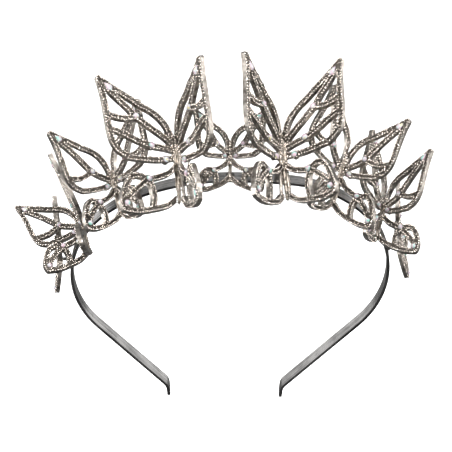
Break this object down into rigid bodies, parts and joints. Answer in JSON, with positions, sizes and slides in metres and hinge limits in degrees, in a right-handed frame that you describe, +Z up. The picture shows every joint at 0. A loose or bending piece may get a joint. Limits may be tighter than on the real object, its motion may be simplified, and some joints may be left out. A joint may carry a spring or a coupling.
{
  "type": "butterfly tiara headband",
  "caption": "Butterfly tiara: a thin sprung metal headband with openwork cast butterflies, set with opal stones, standing along its top and sides.",
  "frame": {"origin": "middle of the space for the head, level with the widest part of the band and midway across the band's width", "axes": "+Z up out of the crown of the head, +X to the right seen from the front, -Y to the front"},
  "size_m": [0.1754, 0.0692, 0.1796],
  "materials": {
    "band_metal": "polished gunmetal plate",
    "wing_metal": "cast, antique silver plate, granulated front",
    "body_metal": "cast, antique silver plate, darkened grooves",
    "opal": "milky, polished",
    "saddle_metal": "dull solder"
  },
  "bodies": {
    "root": {"headband": "band_metal", "center_butterfly_left_wings": "wing_metal", "center_butterfly_right_wings": "wing_metal", "center_butterfly_body": "body_metal", "center_butterfly_stones": "opal", "center_butterfly_saddle": "saddle_metal", "inner_left_butterfly_left_wings": "wing_metal", "inner_left_butterfly_right_wings": "wing_metal", "inner_left_butterfly_body": "body_metal", "inner_left_butterfly_stones": "opal", "inner_left_butterfly_saddle": "saddle_metal", "inner_right_butterfly_left_wings": "wing_metal", "inner_right_butterfly_right_wings": "wing_metal", "inner_right_butterfly_body": "body_metal", "inner_right_butterfly_stones": "opal", "inner_right_butterfly_saddle": "saddle_metal", "middle_left_butterfly_left_wings": "wing_metal", "middle_left_butterfly_right_wings": "wing_metal", "middle_left_butterfly_body": "body_metal", "middle_left_butterfly_stones": "opal", "middle_left_butterfly_saddle": "saddle_metal", "middle_right_butterfly_left_wings": "wing_metal", "middle_right_butterfly_right_wings": "wing_metal", "middle_right_butterfly_body": "body_metal", "middle_right_butterfly_stones": "opal", "middle_right_butterfly_saddle": "saddle_metal", "outer_left_butterfly_left_wings": "wing_metal", "outer_left_butterfly_right_wings": "wing_metal", "outer_left_butterfly_body": "body_metal", "outer_left_butterfly_stones": "opal", "outer_left_butterfly_saddle": "saddle_metal", "outer_right_butterfly_left_wings": "wing_metal", "outer_right_butterfly_right_wings": "wing_metal", "outer_right_butterfly_body": "body_metal", "outer_right_butterfly_stones": "opal", "outer_right_butterfly_saddle": "saddle_metal", "end_left_butterfly_left_wings": "wing_metal", "end_left_butterfly_right_wings": "wing_metal", "end_left_butterfly_body": "body_metal", "end_left_butterfly_stones": "opal", "end_left_butterfly_saddle": "saddle_metal", "end_right_butterfly_left_wings": "wing_metal", "end_right_butterfly_right_wings": "wing_metal", "end_right_butterfly_body": "body_metal", "end_right_butterfly_stones": "opal", "end_right_butterfly_saddle": "saddle_metal"}
  },
  "joints": []
}
